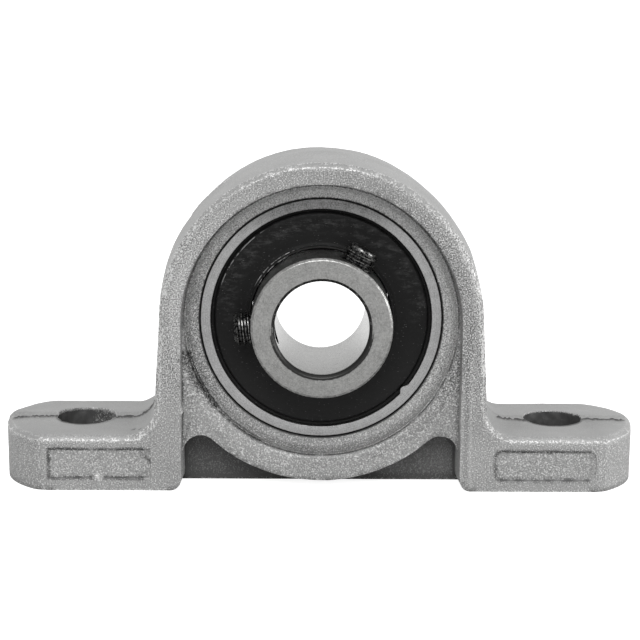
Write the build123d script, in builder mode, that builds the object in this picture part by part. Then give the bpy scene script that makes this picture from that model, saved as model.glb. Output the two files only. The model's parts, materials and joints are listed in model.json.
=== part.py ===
"""Miniature pillow block bearing.

A zinc die casting with two bolted feet holds a self-aligning ball bearing insert in a spherical seat.
The insert has an extended inner ring, which two set screws lock to the shaft.

Frame: origin on the base plane under the middle of the bearing, X along the feet, Y along the shaft
with the extended collar towards -Y, Z up. Sizes are in millimetres and degrees.
"""

import os
from math import cos, radians, sin, sqrt, tan

from build123d import *

os.makedirs("parts", exist_ok=True)

# Housing casting: outline
overall_length = 55.0
housing_depth = 13.0
shaft_height = 14.5
foot_height = 5.0
foot_end_radius = 8.05
arch_radius = 14.1
pillar_flare = 3.0
pillar_root_radius = 1.9
draft_angle = 3.0
outer_edge_break = 0.35

# Housing casting: raised rim, boss, web and panels
rim_inner_radius = 11.95
rim_height = 1.5
boss_radius = 13.95
web_thickness = 5.2
pocket_corner_radius = 1.4
leg_toe_radius = 1.2
panel_length = 8.7
panel_height = 2.55
panel_depth = 0.18
panel_corner_radius = 0.7
left_panel_centre = (-18.95, 2.38)
right_panel_centre = (19.35, 2.28)

# Housing casting: dished ring around the bearing, with a witness groove outside it
dish_radius = 11.6
dish_slope = 18.0
dish_cove = 0.4
dish_lip_width = 0.08
dish_lip_drop = 0.12
mouth_chamfer = 0.08
witness_groove_depth = 0.35

# Bolts
bolt_spacing = 41.2
bolt_hole_diameter = 5.0

# Bearing insert: rings
sphere_diameter = 22.0
seat_clearance = 0.03
outer_ring_width = 7.0
outer_ring_chamfer = 0.12
outer_shoulder_diameter = 17.4
bore_diameter = 8.0
bore_chamfer = 0.25
inner_ring_diameter = 12.0
inner_ring_chamfer = 0.2
collar_reach = 8.0
rear_reach = 4.0

# Bearing insert: balls and cage
ball_count = 7
ball_diameter = 3.969
pitch_diameter = 15.0
ball_clearance = 0.02
race_conformity = 0.525
first_ball_angle = 90.0
cage_inner_diameter = 13.2
cage_outer_diameter = 16.8
cage_thickness = 0.3
cage_pocket_clearance = 0.06
rivet_diameter = 0.6
rivet_head_diameter = 1.05
rivet_head_height = 0.2

# Bearing insert: seals
seal_seat_diameter = 19.0
seal_seat_depth = 0.9
seal_snap_depth = 0.18
seal_snap_width = 0.42
seal_fit = 0.02
seal_recess = 0.2
seal_lip_clearance = 0.05
seal_lip_width = 0.45
seal_lip_rise = 0.14
seal_lip_chamfer = 0.12
seal_rim_width = 0.4
seal_insert_thickness = 0.2
seal_insert_inner_diameter = 13.4
seal_insert_outer_diameter = 18.2

# Set screws
set_screw_diameter = 3.0
set_screw_length = 3.0
set_screw_clearance = 0.03
set_screw_offset = 2.2
set_screw_tip = 4.4
set_screw_chamfer = 0.3
set_screw_cup_diameter = 1.5
set_screw_cup_depth = 0.35
socket_width = 1.5
socket_depth = 1.3
upper_screw_angle = 61.0
left_screw_angle = 183.0

# Sizes that follow from the ones above
half_length = overall_length / 2
half_depth = housing_depth / 2
face_y = half_depth - rim_height
web_y = web_thickness / 2
margin = 2.0
tiny = 1e-3
draft_slope = tan(radians(draft_angle))
shaft_axis = Axis((0, 0, shaft_height), (0, 1, 0))
axial_plane = Plane.XY.offset(shaft_height)  # a sketch on it holds the radius from the shaft as x, and Y as y

seat_radius = sphere_diameter / 2 + seat_clearance
ring_y = outer_ring_width / 2
mouth_radius = sqrt(seat_radius**2 - ring_y**2)
ball_radius = ball_diameter / 2
pitch_radius = pitch_diameter / 2
race_radius = race_conformity * ball_diameter
inner_race_centre = pitch_radius - ball_radius - ball_clearance + race_radius
outer_race_centre = pitch_radius + ball_radius + ball_clearance - race_radius
inner_ring_radius = inner_ring_diameter / 2
bore_radius = bore_diameter / 2
shoulder_radius = outer_shoulder_diameter / 2
inner_race_y = sqrt(race_radius**2 - (inner_race_centre - inner_ring_radius) ** 2)
outer_race_y = sqrt(race_radius**2 - (shoulder_radius - outer_race_centre) ** 2)
ball_angles = [first_ball_angle + 360 / ball_count * index for index in range(ball_count)]
rivet_angles = [angle + 180 / ball_count for angle in ball_angles]
pocket_radius = ball_radius + cage_pocket_clearance

seal_seat_radius = seal_seat_diameter / 2
seal_floor_y = ring_y - seal_seat_depth
snap_y = seal_floor_y + seal_snap_width
set_screw_y = set_screw_offset - collar_reach


def around(angle, radius):
    """A point in the XZ plane at this radius from the shaft, at an angle counted from +X towards +Z."""
    return (radius * cos(radians(angle)), shaft_height + radius * sin(radians(angle)))


def radial_plane(angle, y=0, radius=0):
    """A plane that faces outwards along a radius from the shaft, with its x axis along the shaft."""
    outwards = Vector(cos(radians(angle)), 0, sin(radians(angle)))
    return Plane(Vector(0, y, shaft_height) + outwards * radius, x_dir=(0, 1, 0), z_dir=outwards)


def is_wall(face):
    """True for a face that runs along the shaft direction, whatever its draft."""
    return abs(face.normal_at().Y) < 0.5


def on_front_or_rear(edge):
    """True for an edge that lies in the front or the rear plane of the casting."""
    return abs(abs((edge @ 0).Y) - half_depth) < tiny and abs(abs((edge @ 0.5).Y) - half_depth) < tiny


def finish(part, name):
    """Names a finished piece and writes its file."""
    part.label = name
    export_step(part, f"parts/{name}.step")


# --- Housing: two cores shape the front face, and their mirror images the rear one ---
rim_floor_radius = rim_inner_radius - rim_height * draft_slope
with BuildPart() as face_core:
    with BuildSketch(Plane.XZ.offset(face_y)):
        with Locations((0, shaft_height)):
            Circle(rim_floor_radius)
        with Locations((0, (shaft_height - margin) / 2)):
            Rectangle(2 * rim_floor_radius, shaft_height + margin)
    extrude(amount=rim_height + margin)
    walls = face_core.faces().filter_by(is_wall)
    draft(walls, Plane.XZ.offset(face_y), -draft_angle)

leg_x = rim_floor_radius - (face_y - web_y) * draft_slope
toe_z = leg_toe_radius - (half_depth - web_y) * draft_slope
arc_radius = boss_radius + (face_y - web_y) * draft_slope
with BuildPart() as pocket_core:
    with BuildSketch(Plane.XZ.offset(web_y)) as pockets:
        with BuildLine():
            toe_end = (leg_x + leg_toe_radius, toe_z - leg_toe_radius)
            Line((0, -margin), (toe_end[0], -margin))
            Line((toe_end[0], -margin), toe_end)
            RadiusArc(toe_end, (leg_x, toe_z), leg_toe_radius)
            Polyline((leg_x, toe_z), (leg_x, shaft_height), (0, shaft_height))
            mirror(about=Plane.YZ)
        make_face()
        with Locations((0, shaft_height)):
            Circle(arc_radius, mode=Mode.SUBTRACT)
        fillet(pockets.vertices().group_by(Axis.Y)[-1], pocket_corner_radius)
    extrude(amount=half_depth - web_y + margin)
    walls = pocket_core.faces().filter_by(is_wall)
    draft(walls, Plane.XZ.offset(web_y), -draft_angle)

# --- Housing: arch, pillars and feet, drafted both ways from the parting plane ---
flare = radians(pillar_flare)
spring = (arch_radius * cos(flare), shaft_height + arch_radius * sin(flare))
root = (spring[0] + (spring[1] - foot_height) * tan(flare), foot_height)
foot_toe = (half_length + margin, -margin)
end_x = half_length - foot_end_radius + sqrt(foot_end_radius**2 - half_depth**2)

with BuildPart() as housing:
    with BuildSketch(Plane.XZ) as outline:
        with BuildLine():
            ThreePointArc((0, shaft_height + arch_radius), around(45, arch_radius), spring)
            Polyline(spring, root, (foot_toe[0], foot_height), foot_toe, (0, -margin))
            mirror(about=Plane.YZ)
        make_face()
        roots = outline.vertices().filter_by(lambda v: abs(abs(v.X) - root[0]) < tiny)
        fillet(roots, pillar_root_radius)
    extrude(amount=half_depth)
    draft(housing.faces().filter_by(is_wall), Plane.XZ, draft_angle)
    mirror(about=Plane.XZ)

    # The feet end in shallow arcs, seen from above
    with BuildSketch(Plane.XY):
        with BuildLine():
            Line((-end_x, -half_depth), (end_x, -half_depth))
            ThreePointArc((end_x, -half_depth), (half_length, 0), (end_x, half_depth))
            Line((end_x, half_depth), (-end_x, half_depth))
            ThreePointArc((-end_x, half_depth), (-half_length, 0), (-end_x, -half_depth))
        make_face()
    extrude(amount=shaft_height + arch_radius + margin, mode=Mode.INTERSECT)

    # The outer edges are broken
    outer_edges = housing.edges().filter_by(lambda e: on_front_or_rear(e) and (e @ 0.5).Z > tiny)
    end_edges = housing.edges().filter_by(
        lambda e: abs((e @ 0.5).X) > end_x and (e @ 0.5).Z > foot_height / 2 and e.length > foot_end_radius / 2
    )
    chamfer(outer_edges + end_edges, outer_edge_break)

    # The cores leave the raised rim, the boss, the pockets and the web
    for core in (face_core, pocket_core):
        add(core.part, mode=Mode.SUBTRACT)
        add(core.part.mirror(Plane.XZ), mode=Mode.SUBTRACT)

    # Inside the rim the casting is dished down to the bearing, and a witness groove runs round the dish
    with BuildSketch(axial_plane):
        with BuildLine():
            mouth = (mouth_radius, -ring_y)
            land = (mouth_radius + mouth_chamfer, -ring_y - mouth_chamfer)
            fall = tan(radians(dish_slope))
            cove_foot = (dish_radius - dish_cove, land[1] - (dish_radius - dish_cove - land[0]) * fall)
            cove_top = (dish_radius, cove_foot[1] - dish_cove * (1 + fall))
            lip = (dish_radius, -face_y + dish_lip_drop)
            groove_in = (dish_radius + dish_lip_width, lip[1])
            groove_bottom = ((groove_in[0] + rim_floor_radius) / 2, -face_y + witness_groove_depth)
            Polyline((0, 0), (mouth_radius, 0), mouth, land, cove_foot, cove_top, lip)
            Polyline(lip, groove_in, groove_bottom, (rim_floor_radius, -face_y), (0, -face_y), (0, 0))
        make_face()
        mirror(about=Plane.XZ)
    revolve(axis=shaft_axis, mode=Mode.SUBTRACT)
    with Locations((0, 0, shaft_height)):
        Sphere(seat_radius, mode=Mode.SUBTRACT)

    # Bolt holes
    with Locations((-bolt_spacing / 2, 0, foot_height / 2), (bolt_spacing / 2, 0, foot_height / 2)):
        Cylinder(bolt_hole_diameter / 2, foot_height + margin, mode=Mode.SUBTRACT)

    # Blank panels sunk in the front of the feet: the left one has sharp corners, the right one round ones
    with BuildSketch(Plane.XZ.offset(half_depth)):
        with Locations(left_panel_centre):
            Rectangle(panel_length, panel_height)
        with Locations(right_panel_centre):
            RectangleRounded(panel_length, panel_height, panel_corner_radius)
    extrude(amount=-panel_depth, mode=Mode.SUBTRACT)
finish(housing.part, "housing")

# --- Outer ring: a sphere outside, a raceway inside, and a seat with a snap groove for the seal at each end ---
with BuildPart() as outer_ring:
    with BuildSketch(axial_plane):
        with BuildLine():
            sphere_end_y = ring_y - outer_ring_chamfer
            sphere_end = (sqrt((sphere_diameter / 2) ** 2 - sphere_end_y**2), -sphere_end_y)
            snap_radius = seal_seat_radius + seal_snap_depth
            ThreePointArc((shoulder_radius, -outer_race_y), (outer_race_centre + race_radius, 0),
                          (shoulder_radius, outer_race_y))
            front_side = Polyline(
                (shoulder_radius, -outer_race_y),
                (shoulder_radius, -seal_floor_y),
                (snap_radius, -seal_floor_y),
                (snap_radius, seal_snap_depth - snap_y),
                (seal_seat_radius, -snap_y),
                (seal_seat_radius, -ring_y),
                (sphere_end[0] - outer_ring_chamfer, -ring_y),
                sphere_end,
            )
            mirror(front_side, about=Plane.XZ)
            ThreePointArc(sphere_end, (sphere_diameter / 2, 0), (sphere_end[0], sphere_end_y))
        make_face()
    revolve(axis=shaft_axis)
finish(outer_ring.part, "outer_ring")

# --- Inner ring: long towards the front, where the set screws sit ---
with BuildPart() as inner_ring:
    with BuildSketch(axial_plane):
        with BuildLine():
            groove = ThreePointArc((inner_ring_radius, -inner_race_y), (inner_race_centre - race_radius, 0),
                                   (inner_ring_radius, inner_race_y))
            Polyline(
                groove @ 1,
                (inner_ring_radius, rear_reach - inner_ring_chamfer),
                (inner_ring_radius - inner_ring_chamfer, rear_reach),
                (bore_radius + bore_chamfer, rear_reach),
                (bore_radius, rear_reach - bore_chamfer),
                (bore_radius, bore_chamfer - collar_reach),
                (bore_radius + bore_chamfer, -collar_reach),
                (inner_ring_radius - inner_ring_chamfer, -collar_reach),
                (inner_ring_radius, inner_ring_chamfer - collar_reach),
                groove @ 0,
            )
        make_face()
    revolve(axis=shaft_axis)
    with BuildSketch(*[radial_plane(angle, set_screw_y) for angle in (upper_screw_angle, left_screw_angle)]):
        Circle(set_screw_diameter / 2 + set_screw_clearance)
    extrude(amount=inner_ring_radius + margin, mode=Mode.SUBTRACT)
finish(inner_ring.part, "inner_ring")

# --- Balls, each with a little play between the two raceways ---
for number, angle in enumerate(ball_angles, start=1):
    x, z = around(angle, pitch_radius)
    with BuildPart() as ball:
        with Locations((x, 0, z)):
            Sphere(ball_radius)
    finish(ball.part, f"ball_{number}")

# --- Cage: two pressed ribbons, flat where they are riveted together and bulged round each ball ---
pocket_planes = [radial_plane(angle) for angle in ball_angles]
with BuildPart() as cage_front:
    with BuildSketch(Plane.XZ):
        with Locations((0, shaft_height)):
            Circle(cage_outer_diameter / 2)
    extrude(amount=cage_thickness)
    with BuildSketch(*pocket_planes):
        Circle(pocket_radius + cage_thickness)
    extrude(amount=cage_outer_diameter / 2 + margin)
    with BuildSketch(Plane.XZ):
        with Locations((0, shaft_height)):
            Circle(cage_outer_diameter / 2)
            Circle(cage_inner_diameter / 2, mode=Mode.SUBTRACT)
    extrude(amount=pocket_radius + margin, mode=Mode.INTERSECT)
    with BuildSketch(*pocket_planes):
        Circle(pocket_radius)
    extrude(amount=cage_outer_diameter / 2 + margin, mode=Mode.SUBTRACT)
    with BuildSketch(Plane.XZ) as rivet_holes:
        with Locations(*[around(angle, pitch_radius) for angle in rivet_angles]):
            Circle(rivet_diameter / 2)
    extrude(amount=cage_thickness, mode=Mode.SUBTRACT)
finish(cage_front.part, "cage_front")

with BuildPart() as cage_rear:
    add(cage_front.part.mirror(Plane.XZ))
finish(cage_rear.part, "cage_rear")

with BuildPart() as cage_rivets:
    with BuildSketch(Plane.XZ):
        with Locations(*[around(angle, pitch_radius) for angle in rivet_angles]):
            Circle(rivet_diameter / 2)
    extrude(amount=cage_thickness, both=True)
    for head_plane in (Plane.XZ.offset(cage_thickness), Plane.XZ.offset(-cage_thickness - rivet_head_height)):
        with BuildSketch(head_plane):
            with Locations(*[around(angle, pitch_radius) for angle in rivet_angles]):
                Circle(rivet_head_diameter / 2)
        extrude(amount=rivet_head_height)
finish(cage_rivets.part, "cage_rivets")

# --- Seals: a steel insert behind a rubber face that snaps into the outer ring and has its lip at the inner one ---
with BuildPart() as front_seal_insert:
    with BuildSketch(Plane.XZ.offset(seal_floor_y)):
        with Locations((0, shaft_height)):
            Circle(seal_insert_outer_diameter / 2)
            Circle(seal_insert_inner_diameter / 2, mode=Mode.SUBTRACT)
    extrude(amount=seal_insert_thickness)
finish(front_seal_insert.part, "front_seal_insert")

with BuildPart() as front_seal_rubber:
    with BuildSketch(axial_plane):
        with BuildLine():
            lip_radius = inner_ring_radius + seal_lip_clearance
            lip_end = lip_radius + seal_lip_width
            rubber_radius = seal_seat_radius - seal_fit
            rubber_y = seal_recess - ring_y
            bead_y = seal_fit - snap_y
            rim_start = rubber_radius - seal_rim_width
            Polyline(
                (lip_radius, -seal_floor_y),
                (lip_radius, rubber_y),
                (lip_radius + seal_lip_chamfer, rubber_y - seal_lip_rise),
                (lip_end - seal_lip_chamfer, rubber_y - seal_lip_rise),
                (lip_end, rubber_y),
                (rim_start, rubber_y),
                (rim_start, bead_y),
                (rubber_radius, bead_y),
                (rubber_radius + seal_snap_depth, bead_y + seal_snap_depth),
                (rubber_radius + seal_snap_depth, -seal_floor_y),
                (seal_insert_outer_diameter / 2, -seal_floor_y),
                (seal_insert_outer_diameter / 2, -seal_floor_y - seal_insert_thickness),
                (seal_insert_inner_diameter / 2, -seal_floor_y - seal_insert_thickness),
                (seal_insert_inner_diameter / 2, -seal_floor_y),
                close=True,
            )
        make_face()
    revolve(axis=shaft_axis)
finish(front_seal_rubber.part, "front_seal_rubber")

for front_part, rear_name in (
    (front_seal_insert.part, "rear_seal_insert"),
    (front_seal_rubber.part, "rear_seal_rubber"),
):
    with BuildPart() as rear_seal:
        add(front_part.mirror(Plane.XZ))
    finish(rear_seal.part, rear_name)

# --- Set screws: cup point inwards, hexagon socket outwards ---
for angle, name in ((upper_screw_angle, "set_screw_upper"), (left_screw_angle, "set_screw_left")):
    with BuildPart() as set_screw:
        tip_plane = radial_plane(angle, set_screw_y, set_screw_tip)
        with BuildSketch(tip_plane):
            Circle(set_screw_diameter / 2)
        extrude(amount=set_screw_length)
        chamfer(set_screw.edges().filter_by(GeomType.CIRCLE), set_screw_chamfer)
        with BuildSketch(tip_plane):
            Circle(set_screw_cup_diameter / 2)
        extrude(amount=set_screw_cup_depth, taper=45, mode=Mode.SUBTRACT)
        with BuildSketch(tip_plane.offset(set_screw_length)):
            RegularPolygon(socket_width / 2, 6, major_radius=False)
        extrude(amount=-socket_depth, mode=Mode.SUBTRACT)
    finish(set_screw.part, name)
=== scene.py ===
"""Looks of a miniature pillow block bearing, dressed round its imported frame. Sizes are in metres."""

import json
from math import ceil, cos, degrees, hypot, pi, radians, sin

import bmesh
import bpy
from mathutils import Matrix, Vector, noise


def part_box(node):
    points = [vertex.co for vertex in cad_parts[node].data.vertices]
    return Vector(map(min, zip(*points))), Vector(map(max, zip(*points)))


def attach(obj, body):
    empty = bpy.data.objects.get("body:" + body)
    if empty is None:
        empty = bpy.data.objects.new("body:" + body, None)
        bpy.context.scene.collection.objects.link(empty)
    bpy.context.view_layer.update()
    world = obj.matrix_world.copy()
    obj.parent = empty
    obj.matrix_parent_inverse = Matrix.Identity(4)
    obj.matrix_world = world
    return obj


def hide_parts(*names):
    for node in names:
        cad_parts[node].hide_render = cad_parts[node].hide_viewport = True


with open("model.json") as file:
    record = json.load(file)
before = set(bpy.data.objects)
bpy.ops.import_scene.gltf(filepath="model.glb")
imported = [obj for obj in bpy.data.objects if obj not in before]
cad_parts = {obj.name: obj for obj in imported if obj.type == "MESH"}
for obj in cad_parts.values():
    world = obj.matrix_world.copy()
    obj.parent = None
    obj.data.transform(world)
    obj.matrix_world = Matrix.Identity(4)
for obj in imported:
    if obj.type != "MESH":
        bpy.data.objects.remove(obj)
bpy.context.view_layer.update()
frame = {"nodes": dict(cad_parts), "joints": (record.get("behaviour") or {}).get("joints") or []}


# --- Housing casting ---
# A zinc die casting with two feet, an arch and a dished ring round the bearing. Its two dies meet near y = 0
# and leave ragged lines there. It is tumbled, so its edges are bright, and its skin is grainy where it faced
# the dies and smoother on the walls that they slid along.

MM = 0.001
joints = {joint["name"]: joint for joint in frame["joints"]}
SHAFT_Z = joints["shaft_rotation"]["pos_m"][2]
low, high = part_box("housing")
FACE_Y = low.y
FOOT_Z = 5.0 * MM
HOLE_X = 20.6 * MM
HOLE_RADIUS = 2.5 * MM
WEB_END_X = 12.3 * MM
SEAT_MOUTH = 10.3 * MM
DISH_EDGE = 11.65 * MM
UNCUT_RADIUS = 11.1 * MM


class Wire:
    """A socket in a material's nodes. Python's operators on it add Math nodes."""

    def __init__(self, tree, socket):
        self.tree = tree
        self.socket = socket

    def node(self, kind, settings=(), sockets=(), output=0):
        """Adds a node. Its settings are made first, and then its sockets get values or links."""
        made = self.tree.nodes.new(kind)
        for name, value in dict(settings).items():
            if name == "stops":
                for stop, (place, shade) in zip(made.color_ramp.elements, value):
                    stop.position = place
                    stop.color = (shade, shade, shade, 1.0)
            else:
                setattr(made, name, value)
        for name, value in dict(sockets).items():
            if isinstance(value, Wire):
                self.tree.links.new(value.socket, made.inputs[name])
            else:
                made.inputs[name].default_value = value
        return Wire(self.tree, made.outputs[output])

    def math(self, operation, first, second=0.0):
        return self.node("ShaderNodeMath", {"operation": operation}, {0: first, 1: second})

    def __add__(self, other):
        return self.math("ADD", self, other)

    def __sub__(self, other):
        return self.math("SUBTRACT", self, other)

    def __rsub__(self, other):
        return self.math("SUBTRACT", other, self)

    def __mul__(self, other):
        return self.math("MULTIPLY", self, other)

    def __abs__(self):
        return self.math("ABSOLUTE", self)

    __radd__ = __add__
    __rmul__ = __mul__

    def larger(self, other):
        return self.math("MAXIMUM", self, other)

    def ramp(self, start, stop):
        """A colour ramp between two stops, each a position and a grey."""
        return self.node("ShaderNodeValToRGB", {"stops": (start, stop)}, {"Fac": self})

    def speckle(self, size, detail=2.0, rough=0.5):
        """Noise whose spots are about this size, round a mean of one half."""
        return self.node("ShaderNodeTexNoise", (),
                         {"Vector": self, "Scale": 1 / size, "Detail": detail, "Roughness": rough})

    def from_axis(self, x, z, spread=(1, 0, 1)):
        """Distance from an axis through x and z, which runs the way that spread leaves out."""
        centred = self.node("ShaderNodeMapping", (),
                            {"Vector": self, "Location": (-x, 0, -z), "Scale": spread})
        return centred.node("ShaderNodeVectorMath", {"operation": "LENGTH"}, {0: centred}, 1)

    def above(self, limit, soft):
        """0 where this value is below a limit and 1 where it is above it, with a soft step."""
        return self.node("ShaderNodeMapRange", {"interpolation_type": "SMOOTHSTEP"},
                         {"Value": self, "From Min": limit - soft, "From Max": limit + soft})

    def below(self, limit, soft):
        """1 where this value is below a limit and 0 where it is above it, with a soft step."""
        return 1 - self.above(limit, soft)

    def band(self, start, stop, soft):
        """1 where this value is between two others, 0 outside, with soft ends."""
        return self.above(start, soft) - self.above(stop, soft)

    def axis(self, index):
        return self.node("ShaderNodeSeparateXYZ", (), {"Vector": self}, index)

    def stretch(self, x, y, z):
        return self.node("ShaderNodeMapping", (), {"Vector": self, "Scale": (x, y, z)})

    def stored(self, name):
        """A value that the mesh stores at its points."""
        return self.node("ShaderNodeAttribute", {"attribute_name": name}, (), 2)

    def blend(self, dark, light):
        """A colour between two others, by this value."""
        mixed = self.node("ShaderNodeMix", {"data_type": "RGBA"}, {"Factor": self}, 2)
        inputs = mixed.socket.node.inputs
        inputs[6].default_value = (*dark, 1)
        inputs[7].default_value = (*light, 1)
        return mixed

    def relief(self, strength, depth):
        """A normal from this height, where 1 is this depth in metres."""
        return self.node("ShaderNodeBump", (), {"Height": self, "Strength": strength, "Distance": depth})

    def feeds(self, shader, name):
        self.tree.links.new(self.socket, shader.inputs[name])


def start_material(name, **constants):
    """A new material: the material, its object coordinates, its object normal and its shader."""
    material = bpy.data.materials.new(name)
    material.use_nodes = True
    tree = material.node_tree
    shader = tree.nodes["Principled BSDF"]
    for socket, value in constants.items():
        shader.inputs[socket.replace("_", " ")].default_value = value
    given = tree.nodes.new("ShaderNodeTexCoord").outputs
    return material, Wire(tree, given["Object"]), Wire(tree, given["Normal"]), shader


zinc, place, facing, shader = start_material("cast_zinc", Metallic=0.45)
rightward = place.axis(0)
height = place.axis(2)
faces_up = facing.axis(2)
radius = place.from_axis(0, SHAFT_Z)
folded = place.node("ShaderNodeVectorMath", {"operation": "ABSOLUTE"}, {0: place})

# Regions of the casting, each 1 inside and 0 outside.
upper = height.above(8 * MM, 2 * MM)
front = facing.axis(1).below(-0.3, 0.3)
crown = height.above(23.5 * MM, 2 * MM) * front * radius.above(11.7 * MM, 0.1 * MM)
slid_wall = faces_up.above(0.42, 0.15) * radius.above(12.4 * MM, 0.3 * MM)
shaded_foot_tops = faces_up.above(0.5, 0.2) * (1 - upper)
foot_flats = faces_up.above(0.72, 0.1) * (1 - upper)
left_root_highlight = rightward.band(-16.6 * MM, -13.4 * MM, 0.5 * MM) * (1 - crown)
shaded_right_leg = rightward.band(12.2 * MM, 16 * MM, 0.5 * MM) * height.band(5 * MM, 16 * MM, 1.5 * MM)
lit_right_end = rightward.above(24.5 * MM, MM) * (1 - upper)
web = folded.axis(1).below(3.3 * MM, 0.4 * MM) * folded.axis(0).below(WEB_END_X, 0.1 * MM)
web = web * height.below(8.5 * MM, 0.5 * MM)
bolt_hole = folded.from_axis(HOLE_X, 0, (1, 1, 0)).below(HOLE_RADIUS + 0.25 * MM, 0.12 * MM)
bolt_hole = bolt_hole * height.below(FOOT_Z - 0.1 * MM, 0.15 * MM)
torn_and_lit = rightward.band(-HOLE_X + 0.3 * MM, -HOLE_X + 2.6 * MM, 0.6 * MM)

# Grain, spots and wear. The mesh stores the rubbed edges, with some painted highlights, and painted shade in
# its creases, with a few dark marks.
grain = place.speckle(0.11 * MM, 1.0)
fleck = place.speckle(0.11 * MM, 0.0).ramp((0.6, 0.0), (0.7, 1.0))
pits = place.speckle(0.4 * MM, 1.0).ramp((0.72, 0.0), (0.8, 1.0))
cloud = place.speckle(4.5 * MM, 3.0)
scuff = place.speckle(0.15 * MM, 2.0, 0.6)
rough_hole = place.speckle(0.7 * MM, 3.0)
edges = place.stored("worn")
worn = (edges + (scuff - 0.5) * 2.6).ramp((0.95, 0.0), (1.0, 1.0)) * edges.ramp((0.3, 0.0), (0.8, 1.0))
lively = (1 - slid_wall * 0.75) * (1 - web * 0.65) * (1 - bolt_hole * (1 - torn_and_lit) * 0.7)

# How much lighter or darker each form is.
# Painted light on the dish, more towards its top and right, painted shadow in the gap at the ring's edge and
# along the groove line round the dish, and painted light and shade on the left and right of the recess's
# edge.
dish = radius.band(SEAT_MOUTH, DISH_EDGE, 0.1 * MM)
dish_light_gradient = ((height - SHAFT_Z) * 0.2 + rightward * 0.09) * (1 / (11 * MM))
seam_shadow = radius.band(SEAT_MOUTH, 10.54 * MM, 0.04 * MM)
witness_line_shade = radius.band(11.6 * MM, 11.95 * MM, 0.08 * MM)
recess_side_shade = radius.band(11.9 * MM, 12.9 * MM, 0.2 * MM) * rightward * (0.09 / (12 * MM))
ring_light = dish * (dish_light_gradient + 0.09) - seam_shadow - witness_line_shade * 0.04 - recess_side_shade
# Painted shadow in the groove beside the right leg, a painted highlight on the ridge next to it, and painted
# shade over the right leg's face.
beside_web = front * height.band(0.4 * MM, 11.5 * MM, MM)
leg_groove_shadow = rightward.band(12.25 * MM, 12.6 * MM, 0.08 * MM) * beside_web
leg_ridge_highlight = rightward.band(12.72 * MM, 12.92 * MM, 0.08 * MM) * beside_web
leg_ridge_highlight = leg_ridge_highlight * scuff.ramp((0.4, 0.3), (0.6, 1.0))
leg_light = leg_ridge_highlight * 0.16 - leg_groove_shadow * 0.1 - shaded_right_leg * 0.06
# Painted light on the right foot's end, and painted shade on the feet's tops and on the top of the arch's
# front.
end_light = lit_right_end * 0.05 - shaded_foot_tops * 0.06 - crown * 0.06
web_shadow = web * (0.41 - rightward * (0.035 / (8 * MM)) + height.below(0.3 * MM, 0.7 * MM) * 0.25)
# Painted shade in the bolt holes, lifted on the rough right side of the left hole by painted light.
hole_shadow = bolt_hole * (0.9 - torn_and_lit * rough_hole * 1.15)
skin = (grain - 0.5) * lively * (0.95 + upper * 1.1 - crown) + fleck * lively * 0.29
skin = skin + (cloud - 0.5) * 0.2 - pits * 0.12
# Rubbed edges are brighter, more so higher up, and a painted highlight adds to them at the left leg's root.
polish_and_highlight = worn * (0.4 + upper * 0.22 + left_root_highlight * 0.22 - crown * 0.25 - foot_flats * 0.3)

shade = 0.46 + ring_light + leg_light + end_light + skin + polish_and_highlight - web_shadow - hole_shadow
# Painted shade in the creases and along the panels' outlines, and the darker flash, specks, flaw and scratch
# marks, all stored on the mesh.
shade = shade - place.stored("hollow") * 0.5
shade.blend((0.1, 0.1, 0.099), (0.72, 0.72, 0.715)).feeds(shader, "Base Color")
(0.6 - worn * 0.2 + (grain - 0.5) * 0.3).feeds(shader, "Roughness")
(grain * lively + fleck * 0.3 - pits * 0.5).relief(0.6, 0.03 * MM).feeds(shader, "Normal")


def held(share):
    """A share held between 0 and 1."""
    return min(1.0, max(0.0, share))


def within(value, span):
    return span[0] < value < span[1]


def radius_of(point):
    """Distance from the shaft's axis."""
    return hypot(point.x, point.z - SHAFT_Z)


def away_from_shaft(point):
    """The direction from the shaft's axis to a point."""
    return Vector((point.x, 0, point.z - SHAFT_Z)).normalized()


def merged_copy(node):
    """A bmesh of a CAD node with its loose triangles joined and its flat faces whole."""
    shape = bmesh.new()
    shape.from_mesh(frame["nodes"][node].data)
    bmesh.ops.remove_doubles(shape, verts=shape.verts, dist=1e-6)
    bmesh.ops.dissolve_limit(shape, angle_limit=radians(0.4), verts=shape.verts, edges=shape.edges)
    return shape


def bevel(shape, sharp, width, segments):
    """Rounds edges by a width, with this many faces across."""
    bmesh.ops.bevel(shape, geom=sharp, offset=width, offset_type="OFFSET", segments=segments, profile=0.5,
                    affect="EDGES", clamp_overlap=True, material=-1)


def round_edges(shape, rule, width, segments=3):
    """Rounds the sharp edges whose middle satisfies a rule."""
    least_angle = radians(25)
    sharp = [edge for edge in shape.edges if edge.is_manifold and edge.calc_face_angle() > least_angle
             and rule((edge.verts[0].co + edge.verts[1].co) / 2)]
    bevel(shape, sharp, width, segments)


def cut_faces(shape, faces, axis, places):
    """Cuts faces by planes across one axis, halving faces and planes each time. Gives the faces it made."""
    if not places or not faces:
        return faces
    half = len(places) // 2
    normal = Vector([float(index == axis) for index in range(3)])
    around = list(dict.fromkeys(item for face in faces for item in (face, *face.edges, *face.verts)))
    made = bmesh.ops.bisect_plane(shape, geom=around, dist=0.008 * MM, plane_co=normal * places[half],
                                  plane_no=normal)
    sides = ([], [])
    for item in made["geom"]:
        if isinstance(item, bmesh.types.BMFace):
            sides[item.calc_center_median()[axis] > places[half]].append(item)
    before = cut_faces(shape, sides[0], axis, places[:half])
    return before + cut_faces(shape, sides[1], axis, places[half + 1:])


def cut_net(shape, rule, *cuts):
    """Cuts the faces with a corner that satisfies a rule into a net.

    Each cut gives its axis, start, stop and step.
    """
    faces = [face for face in shape.faces if any(rule(corner.co) for corner in face.verts)]
    for axis, start, stop, step in cuts:
        places = [start + count * step for count in range(int((stop - start) / step) + 1)]
        faces = cut_faces(shape, faces, axis, places)


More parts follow.
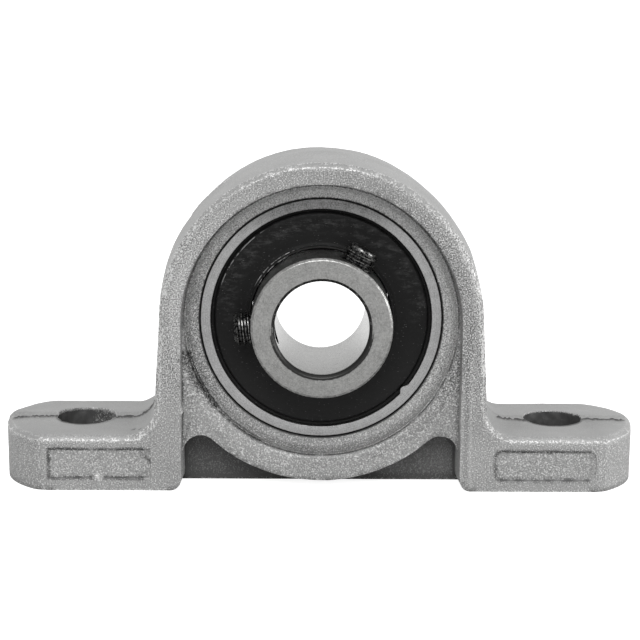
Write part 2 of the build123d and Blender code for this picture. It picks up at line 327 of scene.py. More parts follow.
def distance_to(here, path):
    """Distance from a place to a path of straight runs."""
    distances = []
    for start, end in zip(path, path[1:]):
        along = (here - start).dot(end - start) / (end - start).length_squared
        distances.append((here - start.lerp(end, held(along))).length)
    return min(distances)


def carve(shape, rule, seen_along, path, way, depth, width, ragged, dark):
    """Moves the points near a path one way, and marks them darker, or rubbed brighter where dark is below 0.

    The path is seen along one axis, and its points give the other two in millimetres. With no way given, the
    points move away from the shaft.
    """
    grit = 0.3 * MM
    wear_and_highlight_layer, shade_and_marks_layer = (shape.verts.layers.float[name] for name in ("worn", "hollow"))
    flat_path = [Vector([value * MM for value in place]) for place in path]
    for point in shape.verts:
        if not rule(point.co):
            continue
        here = Vector([value for index, value in enumerate(point.co) if index != seen_along])
        share = 1 - distance_to(here, flat_path) / (width * (1 + ragged * noise.noise(point.co / grit)))
        if share > 0:
            point[wear_and_highlight_layer] = max(point[wear_and_highlight_layer] * (1 - held(share * 3)), -dark * held(share * 3))
            point[shade_and_marks_layer] = max(point[shade_and_marks_layer] * (dark > 0), dark * held(share * 2))
            lump = 1 + ragged * noise.noise(point.co / grit * 1.7)
            step = away_from_shaft(point.co) if way is None else way
            point.co += step * depth * held(share * 1.6) * lump


def mark_edges(shape, keep=lambda at: 1):
    """Stores how rubbed each outer edge is, and painted shade for how sharp a crease each inner one makes,
    for the material.
    """
    least_face = 1e-10
    fading = 0.6
    shape.normal_update()
    wear_and_highlight_layer = shape.verts.layers.float.new("worn")
    shade_and_marks_layer = shape.verts.layers.float.new("hollow")
    for point in shape.verts:
        turns = [degrees(edge.calc_face_angle_signed()) for edge in point.link_edges
                 if edge.is_manifold and min(face.calc_area() for face in edge.link_faces) > least_face]
        if turns:
            reach = sum(edge.calc_length() for edge in point.link_edges) / len(point.link_edges)
            hollow = held((-min(turns) - 12) / 25) * held(0.2 * MM / reach)
            point[wear_and_highlight_layer] = held((max(turns) - 6) / 8) * keep(point.co)
            point[shade_and_marks_layer] = hollow * keep(point.co)
    for layer, span in ((shade_and_marks_layer, 0.2 * MM), (wear_and_highlight_layer, 0.3 * MM)):
        spread = {point: max((edge.other_vert(point)[layer] for edge in point.link_edges
                              if edge.calc_length() < span), default=0.0) for point in shape.verts}
        for point, value in spread.items():
            point[layer] = max(point[layer], value * fading)


def new_object(name, data):
    """A new object in the scene."""
    made = bpy.data.objects.new(name, data)
    bpy.context.scene.collection.objects.link(made)
    return made


def save_piece(shape, name, material, body, replaced, sharp=30):
    """Turns a bmesh into a finished piece that rides on a body and stands for CAD nodes."""
    mesh = bpy.data.meshes.new(name)
    shape.to_mesh(mesh)
    shape.free()
    mesh.shade_smooth()
    mesh.set_sharp_from_angle(angle=radians(sharp))
    mesh.materials.append(material)
    piece = new_object(name, mesh)
    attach(piece, body)
    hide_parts(*replaced)


def on_foot_corner(edge):
    """Whether an edge is one of the upright corners at the ends of the feet."""
    start, end = (corner.co for corner in edge.verts)
    return (abs(start.z - end.z) > 2 * MM and min(abs(start.x), abs(end.x)) > 20 * MM
            and min(abs(start.y), abs(end.y)) > 5.8 * MM and edge.calc_face_angle() > radians(15))


def on_foot_outline(at):
    """Whether a place is on the top or bottom outline of a foot and not at its bolt hole."""
    return (abs(at.x) > 21.5 * MM and (abs(at.z) < 0.1 * MM or at.z > FOOT_Z - 0.2 * MM)
            and hypot(abs(at.x) - HOLE_X, at.y) > HOLE_RADIUS + 0.5 * MM)


def outside_dish(at):
    """Whether a place is outside the dish and off the ledge behind its rim."""
    return radius_of(at) > 12.3 * MM and not (abs(at.y) < 4.9 * MM and radius_of(at) < 14 * MM)


def outside_seat(at):
    return radius_of(at) > UNCUT_RADIUS


casting = merged_copy("housing")
bevel(casting, [edge for edge in casting.edges if on_foot_corner(edge)], 0.75 * MM, 4)
round_edges(casting, on_foot_outline, 0.4 * MM, 4)
round_edges(casting, outside_dish, 0.13 * MM)
bmesh.ops.remove_doubles(casting, verts=casting.verts, dist=0.02 * MM)

# The casting is cut into an even net, and into a finer one at each place that is shaped one by one.
COARSE = 0.5 * MM
FINE = 0.12 * MM
PANEL_STEP = 0.15 * MM
HOLE_STEP = 0.2 * MM
ROOT_STEP = 0.1 * MM
FLAW_X = (-12.3 * MM, -4.8 * MM)
FLAW_Z = (3.6 * MM, 12.2 * MM)
PANEL_Z = (0.7 * MM, 4.1 * MM)
ARCH_LINE_X = (-12 * MM, -7 * MM)
ARCH_LINE_Y = (-0.8 * MM, 0.8 * MM)
ROOT_X = (-16.7 * MM, -15 * MM)
ROOT_Y = (-5.7 * MM, -4 * MM)


def on_foot_line(at):
    """Whether a place is near the parting line on a foot's top."""
    return (within(at.z, (FOOT_Z - 0.2 * MM, 8 * MM)) and within(at.y, (-1.7 * MM, 0.8 * MM))
            and abs(at.x) > 12.5 * MM)


def on_flaw(at):
    """Whether a place is at the cold flow mark on the left leg's face."""
    return at.y < -4.3 * MM and within(at.x, FLAW_X) and within(at.z, FLAW_Z) and outside_seat(at)


def on_panel(at):
    """Whether a place is on the front of a foot, round its bare panel."""
    return at.y < FACE_Y + 0.3 * MM and within(abs(at.x), (14.2 * MM, 24.2 * MM)) and within(at.z, PANEL_Z)


def on_hole_rim(at):
    """Whether a place is in the upper part of a bolt hole."""
    return at.z > 2.0 * MM and hypot(abs(at.x) - HOLE_X, at.y) < HOLE_RADIUS + 0.35 * MM


def on_arch_line(at):
    """Whether a place is near the parting line on the arch's left shoulder."""
    return (within(at.y, ARCH_LINE_Y) and within(at.x, ARCH_LINE_X) and radius_of(at) > 13.8 * MM
            and at.z > SHAFT_Z)


def by_left_root(at):
    """Whether a place is on the left foot's top, in front of the arch's root."""
    return (within(at.z, (FOOT_Z - 0.1 * MM, FOOT_Z + 0.5 * MM)) and within(at.x, ROOT_X)
            and within(at.y, ROOT_Y))


cut_net(casting, outside_seat, (0, low.x, high.x, COARSE), (2, low.z, high.z, COARSE),
        (1, low.y, high.y, COARSE))
cut_net(casting, on_foot_line, (1, -1.6 * MM, 0.7 * MM, FINE), (0, low.x, high.x, 0.17 * MM))
cut_net(casting, on_flaw, (0, *FLAW_X, FINE), (2, *FLAW_Z, FINE))
for panel_start in (-23.8 * MM, 14.4 * MM):
    cut_net(casting, on_panel, (0, panel_start, panel_start + 9.8 * MM, PANEL_STEP),
            (2, *PANEL_Z, PANEL_STEP))
cut_net(casting, on_hole_rim, (0, low.x, high.x, HOLE_STEP), (1, -3 * MM, 3 * MM, HOLE_STEP),
        (2, 2 * MM, 5.1 * MM, 0.25 * MM))
cut_net(casting, on_arch_line, (1, *ARCH_LINE_Y, FINE), (0, *ARCH_LINE_X, 0.2 * MM))
cut_net(casting, by_left_root, (0, *ROOT_X, ROOT_STEP), (1, *ROOT_Y, ROOT_STEP))
bmesh.ops.dissolve_degenerate(casting, dist=0.03 * MM, edges=casting.edges)

# A thin line outlines each bare panel, a painted highlight at its right end and painted shade elsewhere. Each
# panel has its middle's x and z and its corners' radius, in millimetres.
PANELS = ((-18.95, 2.38, 0.02), (19.35, 2.28, 0.55))
PANEL_HALF_LENGTH = 4.35
PANEL_HALF_HEIGHT = 1.275
mark_edges(casting, lambda at: held((radius_of(at) - 12.0 * MM) / MM))
wear_and_highlight_layer, shade_and_marks_layer = (casting.verts.layers.float[name] for name in ("worn", "hollow"))
for point in casting.verts:
    if on_panel(point.co):
        point[shade_and_marks_layer] = 0
        for middle_x, middle_z, corner in PANELS:
            beside = abs(point.co.x / MM - middle_x) - PANEL_HALF_LENGTH + corner
            over = abs(point.co.z / MM - middle_z) - PANEL_HALF_HEIGHT + corner
            away = abs(hypot(max(beside, 0), max(over, 0)) + min(max(beside, over), 0) - corner)
            if away < 0.5:
                bright = held((point.co.x / MM - middle_x - 3.7) / 0.3)
                line = held(1.5 - away / 0.14) * (0.75 + 0.5 * noise.noise(point.co / (0.8 * MM)))
                point[wear_and_highlight_layer] = line * bright * 0.8
                point[shade_and_marks_layer] = line * (1 - bright)
    elif point.co.z < 0.4 * MM or (abs(point.co.x) > 17 * MM and point.co.z > 3.9 * MM):
        point[shade_and_marks_layer] = 0

# The feet are higher behind the parting line and at the front, by these millimetres. The left end is drawn in
# towards the rear, and the whole skin is a little uneven. Blender seeds its vector noise from the clock, so
# that noise gets a seed of its own here, and the skin is the same each time.
LEFT_LIFT = 0.26
RIGHT_LIFT = 0.13
FRONT_LIFT = 0.2
END_PULL = 0.45
SKIN_SEED = 1
noise.seed_set(SKIN_SEED)
for point in casting.verts:
    x, y, z = point.co
    free = held((radius_of(point.co) - 11.6 * MM) / (1.5 * MM)) * held(z / (0.4 * MM))
    foot_top = held((z - 3.9 * MM) / MM) * held((8 * MM - z) / (2 * MM)) * held((abs(x) - 13.5 * MM) / MM)
    behind = held((y - 0.15 * MM) / (0.2 * MM)) * (LEFT_LIFT if x < 0 else RIGHT_LIFT)
    before = held((-3 * MM - y) / (3 * MM)) * FRONT_LIFT
    point.co.z += foot_top * (behind + before) * MM
    point.co.x += held((-25.3 * MM - x) / (2 * MM)) * held((y - 0.4 * MM) / (4 * MM)) * END_PULL * MM
    swell = noise.noise_vector(point.co / (3.5 * MM)) * 0.05
    ripple = noise.noise_vector(point.co / (0.8 * MM)) * 0.018
    point.co += (swell + ripple) * free * MM

UP = Vector((0, 0, 1))
REARWARD = Vector((0, 1, 0))
FRONTWARD = Vector((0, -1, 0))
RIGHTWARD = Vector((1, 0, 0))

# Ridges of flash on the feet and a bright line on the arch, where the dies met.
for path, ridge, width, ragged in (
        (((-26.9, -1.0), (-26.2, -0.7), (-24.5, -0.6), (-23.0, -0.35)), 0.16, 0.19, 0.9),
        (((-18.1, -0.7), (-16.4, -0.6), (-15.3, -0.3), (-14.6, 0.1), (-13.0, 0.4)), 0.18, 0.19, 0.9),
        (((15.75, -0.55), (18.1, -1.1)), 0.16, 0.2, 1.1),
        (((23.2, -0.7), (26.8, -0.9)), 0.16, 0.2, 1.1)):
    carve(casting, on_foot_line, 2, path, UP, ridge * MM, width * MM, ragged, 1)
carve(casting, on_arch_line, 2, ((-11.1, 0.1), (-9.4, -0.1), (-7.7, 0.1)), None, 0.05 * MM, 0.22 * MM,
      1.2, -1)

# Two specks on the left foot.
for path in (((-16.15, -4.5), (-16.05, -4.42)), ((-15.55, -5.2), (-15.5, -5.1))):
    carve(casting, by_left_root, 2, path, REARWARD, 0.01 * MM, 0.14 * MM, 0.3, 1)

# The cold flow mark on the left leg, and a dent and a scratch on the left foot's front.
for rule, path, way, depth, width, ragged, dark in (
        (on_flaw, ((-12.1, 7.25), (-12.02, 6.9)), RIGHTWARD, 0.16, 0.3, 0.5, -0.8),
        (on_flaw, ((-11.28, 5.54), (-11.6, 4.8), (-11.72, 3.92)), REARWARD, 0.06, 0.12, 0.6, 0.5),
        (on_flaw, ((-11.4, 11.4), (-10.9, 10.0), (-10.4, 9.2), (-9.6, 8.3), (-8.7, 7.3)), REARWARD,
         0.35, 0.7, 0.9, 0.75),
        (on_flaw, ((-8.9, 7.4), (-8.1, 6.3), (-7.2, 5.4), (-5.3, 4.1)), REARWARD, 0.15, 0.35, 0.7, 0.35),
        (on_panel, ((-19.3, 1.25), (-18.9, 1.0)), FRONTWARD, 0.2, 0.3, 0.8, -0.95),
        (on_panel, ((-15.3, 3.1), (-14.6, 2.5)), REARWARD, 0.1, 0.22, 0.7, 0.45)):
    carve(casting, rule, 1, path, way, depth * MM, width * MM, ragged, dark)

# The holes' mouths are uneven, and the finished casting stays in its box and reaches the top of it.
for point in casting.verts:
    if on_hole_rim(point.co):
        hole_x = HOLE_X if point.co.x > 0 else -HOLE_X
        from_hole = Vector((point.co.x - hole_x, point.co.y, 0)).normalized()
        tear = 0.05 + 0.12 * noise.noise(point.co / (0.45 * MM))
        point.co += from_hole * tear * MM * held((point.co.z - 2.0 * MM) / MM)
    for index in range(3):
        point.co[index] = min(high[index], max(low[index], point.co[index]))
    if point.co.z > high.z - 0.03 * MM:
        point.co.z = high.z

save_piece(casting, "housing_casting", zinc, "housing", ["housing"], 40)


# --- Outer ring ---
# A ring of bearing steel with turned flat faces, hardened and then ground to a sphere outside, so that it can
# swivel in the casting.

BORE_RADIUS = 4.0 * MM
STEEL_ROUGHNESS = 0.3
NICK_X = (6.3 * MM, 8.1 * MM)
NICK_Z = (SHAFT_Z - 7.2 * MM, SHAFT_Z - 4.9 * MM)
NICK_FRONT = -2.9 * MM


def turned_steel(name, tint, mouth_shade_amount):
    """Steel with the fine lines of a lathe or a grinder round the shaft's axis, and with small scratches."""
    material, place, facing, shader = start_material(name, Metallic=1.0)
    along = place.axis(1)
    height = place.axis(2)
    radius = place.from_axis(0, SHAFT_Z)
    line_place = (radius + along * 0.8) * (1 / (0.035 * MM))
    lines = place.node("ShaderNodeTexNoise", {"noise_dimensions": "1D"},
                       {"W": line_place, "Scale": 1.0, "Detail": 2.0})
    patch = place.speckle(0.9 * MM, 3.0)
    dust = place.speckle(0.13 * MM, 1.0)
    scratch = place.stretch(1, 1, 0.12).speckle(0.09 * MM, 1.0).ramp((0.66, 0.0), (0.74, 1.0))
    ragged = place.speckle(0.35 * MM, 3.0).ramp((0.45, 0.0), (0.62, 1.0))
    finish = (lines - 0.5) * 0.45 + (patch - 0.5) * 0.24 + (dust - 0.5) * 0.45 - scratch * 0.12

    # Painted shade on the chamfers, mostly lifted at the collar's outer rim.
    slope = abs(facing.axis(1)).band(0.25, 0.93, 0.05)
    collar_rim = radius.band(5 * MM, 7 * MM, 0.1 * MM)
    slope_shadow = slope * (0.9 - ragged * (0.6 - collar_rim * 0.38) - collar_rim * 0.76)
    # Painted shade in the bore, round its front mouth and on the lower part of its chamfer.
    bore = radius.below(BORE_RADIUS + 0.02 * MM, 0.01 * MM)
    mouth = radius.below(BORE_RADIUS + 0.05 * MM, 0.02 * MM) * along.below(-7.55 * MM, 0.08 * MM)
    mouth = mouth * (1 - slope)
    lower_mouth_shade = radius.below(4.42 * MM, 0.06 * MM) * height.below(SHAFT_Z - MM, 1.5 * MM) * (1 - bore)
    bore_shadow = bore * 0.19 + mouth * (1.2 - ragged) + lower_mouth_shade * mouth_shade_amount * (1 - ragged * 0.5)
    # Painted light on the lower part of the ring's face, painted shade at its top and a painted shadow in the
    # gap round its outer edge.
    ring_face = radius.band(9.3 * MM, 12 * MM, 0.1 * MM)
    lit_ring = ring_face * height.below(SHAFT_Z - 5 * MM, 3 * MM)
    top_shade = ring_face * height.above(SHAFT_Z + 8.4 * MM, 1.6 * MM)
    crevice_shade = radius.band(10.38 * MM, 12 * MM, 0.04 * MM)

    shade = 0.5 + finish + lit_ring * 0.07 - slope_shadow - bore_shadow - crevice_shade * 1.2 - top_shade * 0.3
    dark = [value * 0.12 for value in tint]
    light = [min(1.0, value * 1.88) for value in tint]
    shade.blend(dark, light).feeds(shader, "Base Color")
    roughness = STEEL_ROUGHNESS + (patch - 0.5) * 0.12 + (lines - 0.5) * 0.12 + scratch * 0.1 + slope * 0.1
    roughness.feeds(shader, "Roughness")
    (lines + dust * 0.4 - scratch * 0.5 + patch * 0.5).relief(0.35, 0.005 * MM).feeds(shader, "Normal")
    return material


def by_nick(at):
    """Whether a place is near the nick in the ring's lower right edge."""
    return at.y < NICK_FRONT and within(at.x, NICK_X) and within(at.z, NICK_Z)


ring_steel = turned_steel("ring_steel", (0.55, 0.55, 0.54), 0.0)
outer_ring = merged_copy("outer_ring")
round_edges(outer_ring, lambda at: abs(at.y) > 3.3 * MM, 0.06 * MM)
cut_net(outer_ring, by_nick, (0, *NICK_X, FINE), (2, *NICK_Z, FINE))
bmesh.ops.dissolve_degenerate(outer_ring, dist=0.004 * MM, edges=outer_ring.edges)
for point in outer_ring.verts:
    share = 1 - hypot(point.co.x - 7.15 * MM, point.co.z - SHAFT_Z + 6.15 * MM) / (0.5 * MM)
    if share > 0 and point.co.y < NICK_FRONT:
        nick = 0.26 + 0.14 * noise.noise(point.co / (0.15 * MM))
        point.co -= away_from_shaft(point.co) * held(share * 1.6) * nick * MM
save_piece(outer_ring, "outer_ring_ground", ring_steel, "outer_race", ["outer_ring"])


# --- Inner ring ---
# A ring of bearing steel whose collar stands out in front for the set screws. It is turned and ground like
# the outer one, and painted shade darkens the lower part of its bore's chamfer.

collar_steel = turned_steel("collar_steel", (0.465, 0.465, 0.455), 1.1)
inner_ring = merged_copy("inner_ring")
round_edges(inner_ring, lambda at: at.y < -7.5 * MM or at.y > 3.7 * MM, 0.05 * MM)
save_piece(inner_ring, "inner_ring_ground", collar_steel, "inner_race", ["inner_ring"])


# --- Balls ---
# Seven balls of chrome steel, hardened, ground and lapped bright. They run in the grooves of the two rings, a
# little apart, where the cage keeps them.


def dress(node, material):
    """Gives a CAD node's object one material."""
    piece = frame["nodes"][node]
    piece.data.materials.clear()
    piece.data.materials.append(material)


ball_steel, place, facing, shader = start_material("ball_steel", Metallic=1.0)
smear = place.speckle(0.8 * MM, 3.0)
smear.blend((0.62, 0.62, 0.63), (0.82, 0.82, 0.82)).feeds(shader, "Base Color")
(0.05 + smear * 0.1).feeds(shader, "Roughness")
for number in range(1, 8):
    dress(f"ball_{number}", ball_steel)


# --- Cage ---
# Two ribbons of pressed steel strip, wrapped round the balls and riveted together between them. The seals'
# steel inserts are pressed from strip too, and share its finish.

cage_steel, place, facing, shader = start_material("pressed_steel", Metallic=1.0)
drawn = place.stretch(1, 0.2, 1).speckle(0.12 * MM, 3.0)
drawn.blend((0.42, 0.41, 0.4), (0.66, 0.65, 0.63)).feeds(shader, "Base Color")
(0.25 + drawn * 0.2).feeds(shader, "Roughness")
drawn.relief(0.3, 0.004 * MM).feeds(shader, "Normal")
for name in ("cage_front", "cage_rear", "cage_rivets", "front_seal_insert", "rear_seal_insert"):
    dress(name, cage_steel)


# --- Seals ---
# Moulded nitrile rubber discs, one at each side, with a raised lip at the inner ring and a dropped rim that
# snaps into the outer one. The front one is a little greasy.

SEAL_STEPS = 160

rubber, place, facing, shader = start_material("moulded_rubber", Specular_IOR_Level=0.18)
height = place.axis(2)
radius = place.from_axis(0, SHAFT_Z)
turn_angle = place.math("ARCTAN2", height - SHAFT_Z, place.axis(0))
# Greasy smears with a painted sheen on the upper part, lint, painted highlights on the lips and rim, and a
# painted reflection that lightens the lower part.
smudge = place.stretch(0.8, 1, 2.4).speckle(1.1 * MM, 5.0, 0.75)
bloom_and_sheen = smudge.ramp((0.48, 0.0), (0.66, 1.0)) * (height * 60).ramp((0.8, 0.1), (1.0, 1.0))
lint = place.stretch(0.5, 1, 1.7).speckle(0.1 * MM, 1.0).ramp((0.72, 0.0), (0.78, 1.0))
outer_half = radius.band(7.6 * MM, 9.0 * MM, 0.5 * MM)
low_half_reflection = height.below(SHAFT_Z - 4 * MM, 4 * MM)
lips = radius.band(6.10 * MM, 6.17 * MM, 0.02 * MM) + radius.band(6.34 * MM, 6.40 * MM, 0.02 * MM)
lit_lips = lips * turn_angle.band(radians(112), radians(150), radians(6))
rim = radius.band(9.02 * MM, 9.1 * MM, 0.02 * MM)
lit_rim = rim * turn_angle.band(radians(125), radians(160), radians(5))
glint = (lit_lips + lit_rim * 0.6) * place.speckle(0.5 * MM, 2.0).ramp((0.45, 0.0), (0.55, 1.0))
shade = bloom_and_sheen * outer_half * 0.09 + lint * 0.3 + glint + low_half_reflection * 0.018
shade.blend((0.009, 0.009, 0.009), (0.42, 0.42, 0.42)).feeds(shader, "Base Color")
(0.5 + (smudge - 0.5) * 0.6).feeds(shader, "Roughness")
(place.speckle(0.25 * MM, 3.0) + smudge * 2).relief(0.4, 0.015 * MM).feeds(shader, "Normal")


def spin_profile(profile):
    """Spins a closed outline of (radius, y) points round the shaft's axis into a ring."""
    shape = bmesh.new()
    corners = [shape.verts.new((radius, along, SHAFT_Z)) for radius, along in profile]
    sides = [shape.edges.new((corner, corners[index - 1])) for index, corner in enumerate(corners)]
    bmesh.ops.spin(shape, geom=corners + sides, cent=(0, 0, SHAFT_Z), axis=(0, 1, 0), angle=2 * pi,
                   steps=SEAL_STEPS, use_merge=True)
    bmesh.ops.remove_doubles(shape, verts=shape.verts, dist=1e-7)
    bmesh.ops.recalc_face_normals(shape, faces=shape.faces)
    return shape


def seal(side):
    """The rubber of a seal, in front where side is -1 and behind where it is 1. Its face is a little wavy."""
    outline = [
        (6.05, 2.60), (6.05, 3.24), (6.08, 3.35), (6.14, 3.42), (6.21, 3.42), (6.26, 3.37), (6.31, 3.37),
        (6.36, 3.41), (6.42, 3.40), (6.47, 3.34), (6.52, 3.305), (6.66, 3.29), (6.90, 3.295), (7.40, 3.30),
        (8.00, 3.30), (8.60, 3.30), (9.02, 3.29), (9.11, 3.25), (9.16, 3.16), (9.18, 3.02), (9.21, 2.90),
        (9.28, 2.85), (9.40, 2.85), (9.46, 2.88), (9.49, 2.90), (9.52, 2.88), (9.60, 2.82), (9.64, 2.76),
        (9.64, 2.62), (9.62, 2.60), (9.10, 2.60), (9.10, 2.80), (6.70, 2.80), (6.70, 2.60)]
    shape = spin_profile([(radius * MM, side * along * MM) for radius, along in outline])
    for point in shape.verts:
        if abs(point.co.y) > 2.95 * MM:
            point.co.y -= side * 0.02 * MM * (1 + noise.noise(point.co / (0.7 * MM)))
    return shape


for side, name in ((-1, "front_seal"), (1, "rear_seal")):
    save_piece(seal(side), name + "_moulding", rubber, "outer_race", [name + "_rubber"], 50)


# --- Set screws ---
# Two M3 cup point set screws of blackened steel with rolled threads and broached hexagon sockets. They go
# through the collar and bite the shaft.

SCREW_RADIUS = 1.49 * MM
SCREW_LENGTH = 3.0 * MM
THREAD_PITCH = 0.5 * MM
THREAD_STEPS = 40
THREAD_ROOT = 0.83
END_SHARE = 0.76
END_SLOPE = 1.2
SOCKET_RADIUS = 1.5 * MM / 2 / cos(pi / 6)
SOCKET_DEPTH = 1.3 * MM
CUP_RADIUS = 0.75 * MM
CUP_DEPTH = 0.25 * MM

black, place, facing, shader = start_material("blackened_steel", Metallic=1.0)
rub = place.speckle(0.2 * MM, 3.0)
# Rubbed crests lighten the black, partly a painted highlight on the threads.
worn = place.stored("worn") * rub.ramp((0.4, 0.0), (0.6, 1.0))
(worn * 0.9 + (rub - 0.5) * 0.2).blend((0.02, 0.02, 0.022), (0.35, 0.35, 0.34)).feeds(shader, "Base Color")
(0.28 + (rub - 0.5) * 0.3).feeds(shader, "Roughness")
rub.relief(0.3, 0.006 * MM).feeds(shader, "Normal")


def screw():
    """A set screw that stands on its cup point at the origin, along Z."""
    shape = bmesh.new()
    tooth = [(THREAD_ROOT, 0.0), (THREAD_ROOT, 0.12), (1.0, 0.44), (1.0, 0.56), (THREAD_ROOT, 0.88),
             (THREAD_ROOT, 1.0)]
    line = [shape.verts.new((radius * SCREW_RADIUS, 0, (rise - 2) * THREAD_PITCH)) for radius, rise in tooth]
    turns = ceil(SCREW_LENGTH / THREAD_PITCH) + 3
    bmesh.ops.spin(shape, geom=line + [shape.edges.new(pair) for pair in zip(line, line[1:])], cent=(0, 0, 0),
                   axis=(0, 0, 1), dvec=(0, 0, THREAD_PITCH / THREAD_STEPS), angle=2 * pi * turns,
                   steps=THREAD_STEPS * turns, use_merge=False)
    bmesh.ops.remove_doubles(shape, verts=shape.verts, dist=1e-6)
    for end, side in ((0.0, -1), (SCREW_LENGTH, 1)):
        bmesh.ops.bisect_plane(shape, geom=[*shape.verts, *shape.edges, *shape.faces], dist=1e-7,
                               plane_co=(0, 0, end), plane_no=(0, 0, side), clear_outer=True)
    for point in shape.verts:
        radius = hypot(point.co.x, point.co.y)
        limit = SCREW_RADIUS * END_SHARE + min(point.co.z, SCREW_LENGTH - point.co.z) * END_SLOPE
        if radius > limit:
            point.co.x *= limit / radius
            point.co.y *= limit / radius
    return shape


def close_end(shape, end, loop_radius, depth, corners, floor_drop):
    """Closes one end of the screw with a recess: a loop of corners, walls and a pointed floor."""
    rim = [edge for edge in shape.edges
           if edge.is_boundary and all(abs(corner.co.z - end) < 1e-6 for corner in edge.verts)]
    into = -1 if end else 1
    ring = bmesh.ops.create_circle(shape, cap_ends=False, segments=corners, radius=loop_radius,
                                   matrix=Matrix.Translation((0, 0, end)))["verts"]
    mouth = list(dict.fromkeys(edge for point in ring for edge in point.link_edges))
    bmesh.ops.bridge_loops(shape, edges=rim + mouth)
    wall = bmesh.ops.extrude_edge_only(shape, edges=mouth)["geom"]
    bottom = [item for item in wall if isinstance(item, bmesh.types.BMVert)]
    bmesh.ops.translate(shape, verts=bottom, vec=(0, 0, into * depth))
    base = [item for item in wall if isinstance(item, bmesh.types.BMEdge)]
    floor = bmesh.ops.extrude_edge_only(shape, edges=base)["geom"]
    tip = [item for item in floor if isinstance(item, bmesh.types.BMVert)]
    bmesh.ops.translate(shape, verts=tip, vec=(0, 0, into * floor_drop))
    bmesh.ops.pointmerge(shape, verts=tip, merge_co=(0, 0, end + into * (depth + floor_drop)))


for node, body, joint in (("set_screw_upper", "upper_screw", "upper_screw_travel"),
                          ("set_screw_left", "left_screw", "left_screw_travel")):
    shape = screw()
    close_end(shape, SCREW_LENGTH, SOCKET_RADIUS, SOCKET_DEPTH, 6, 0.2 * MM)
    close_end(shape, 0.0, CUP_RADIUS, CUP_DEPTH, 24, 0.1 * MM)
    bmesh.ops.recalc_face_normals(shape, faces=shape.faces)
    lowest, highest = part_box(node)
    direction = Vector(joints[joint]["axis"])
    middle = (lowest + highest) / 2
    lean = direction.to_track_quat("Z", "Y").to_matrix().to_4x4()
    bmesh.ops.transform(shape, verts=shape.verts,
                        matrix=Matrix.Translation(middle - direction * SCREW_LENGTH / 2) @ lean)
    mark_edges(shape)
    save_piece(shape, node + "_threaded", black, body, [node], 35)


# --- Studio ---
# A pale matt floor and surroundings that show white, with soft light from above in front and from the right.
# The camera stands in front, a little to the left and above.

CAMERA_AIM = Vector((-0.06, 0, 13.71)) * MM
CAMERA_DISTANCE = 175 * MM
CAMERA_RISE = radians(11.02)
CAMERA_TURN = radians(-0.73)
CAMERA_ROLL = radians(0.43)
FOCAL_PIXELS = 1994.2
IMAGE_WIDTH = 640
SENSOR = 36
ROOM_LEVEL = 0.8
MIRRORED_ROOM_LEVEL = 0.5

back = Vector((sin(CAMERA_TURN) * cos(CAMERA_RISE), -cos(CAMERA_TURN) * cos(CAMERA_RISE), sin(CAMERA_RISE)))
across = (-back).cross(Vector((0, 0, 1))).normalized()
upwards = back.cross(across)
rolled_across = across * cos(CAMERA_ROLL) + upwards * sin(CAMERA_ROLL)
rolled_up = upwards * cos(CAMERA_ROLL) - across * sin(CAMERA_ROLL)
turn = Matrix((rolled_across, rolled_up, back)).transposed().to_4x4()
lens = bpy.data.cameras.new("camera")
lens.sensor_width = SENSOR
lens.lens = FOCAL_PIXELS * SENSOR / IMAGE_WIDTH
lens.clip_start = 0.01
camera = new_object("camera", lens)
camera.matrix_world = Matrix.Translation(CAMERA_AIM + back * CAMERA_DISTANCE) @ turn
bpy.context.scene.camera = camera


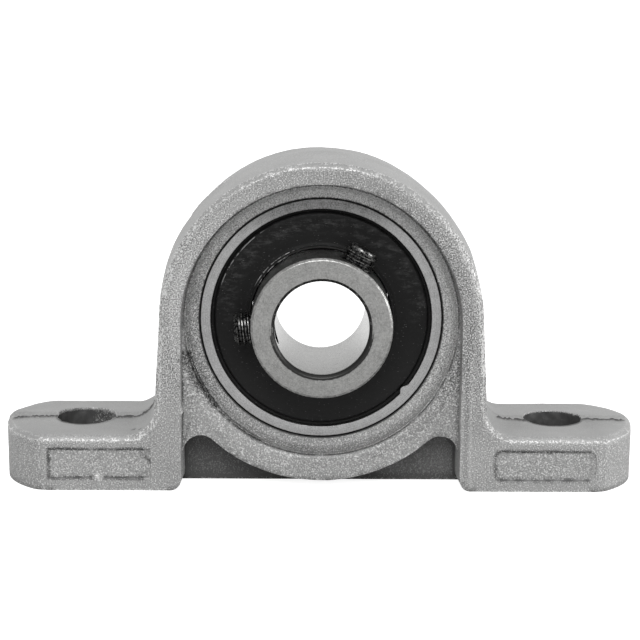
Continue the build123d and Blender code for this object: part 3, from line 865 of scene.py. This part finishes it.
def shown_white(coordinate, glossy):
    """1 for the rays that see plain white: the camera's, those through glass, and mirrored ones behind."""
    from_behind = coordinate.ramp((0.5, 0.0), (0.62, 1.0))
    camera_ray = glossy.node("ShaderNodeLightPath", (), (), 0)
    through_glass = glossy.node("ShaderNodeLightPath", (), (), 6)
    return camera_ray.larger(glossy * from_behind).larger(through_glass)


floor_shape = bmesh.new()
bmesh.ops.create_grid(floor_shape, x_segments=1, y_segments=1, size=2.0)
floor_mesh = bpy.data.meshes.new("floor")
floor_shape.to_mesh(floor_mesh)
floor_shape.free()
floor = new_object("floor", floor_mesh)
floor_paint, place, facing, shader = start_material("floor_paint", Base_Color=(0.5, 0.5, 0.5, 1),
                                                    Roughness=0.9, Specular_IOR_Level=0.0)
glossy = place.node("ShaderNodeLightPath", (), (), 3)
shown = shown_white(place.axis(1) * 2 + 0.5, glossy)
paint = Wire(floor_paint.node_tree, shader.outputs[0])
glow = place.node("ShaderNodeEmission", (), {"Color": (1, 1, 1, 1), "Strength": 0.9})
lit = place.node("ShaderNodeAddShader", (), {0: paint, 1: glow})
cover = place.node("ShaderNodeMixShader", (), {0: shown, 1: paint, 2: lit})
cover.feeds(floor_paint.node_tree.nodes["Material Output"], "Surface")
floor.data.materials.append(floor_paint)

world = bpy.data.worlds.new("studio")
bpy.context.scene.world = world
world.use_nodes = True
surround = world.node_tree.nodes["Background"]
surround.inputs["Color"].default_value = (1, 1, 1, 1)
sky = Wire(world.node_tree, surround.outputs[0])
glossy = sky.node("ShaderNodeLightPath", (), (), 3)
shown = shown_white(sky.node("ShaderNodeTexCoord", (), (), 0).axis(1) * 0.5 + 0.5, glossy)
room = ROOM_LEVEL + glossy * (MIRRORED_ROOM_LEVEL - ROOM_LEVEL)
room.larger(shown).feeds(surround, "Strength")


def softbox(name, at, size, power):
    """A round soft lamp that faces the bearing."""
    light = bpy.data.lights.new(name, "AREA")
    light.shape = "DISK"
    light.size = size
    light.energy = power
    lamp = new_object(name, light)
    lamp.location = at
    lamp.rotation_euler = (CAMERA_AIM - Vector(at)).to_track_quat("-Z", "Y").to_euler()


softbox("top_softbox", (0.0, -0.36, 0.34), 0.3, 1.1)
softbox("right_softbox", (0.45, -0.1, 0.12), 0.25, 0.6)
bpy.context.scene.view_settings.view_transform = "Standard"
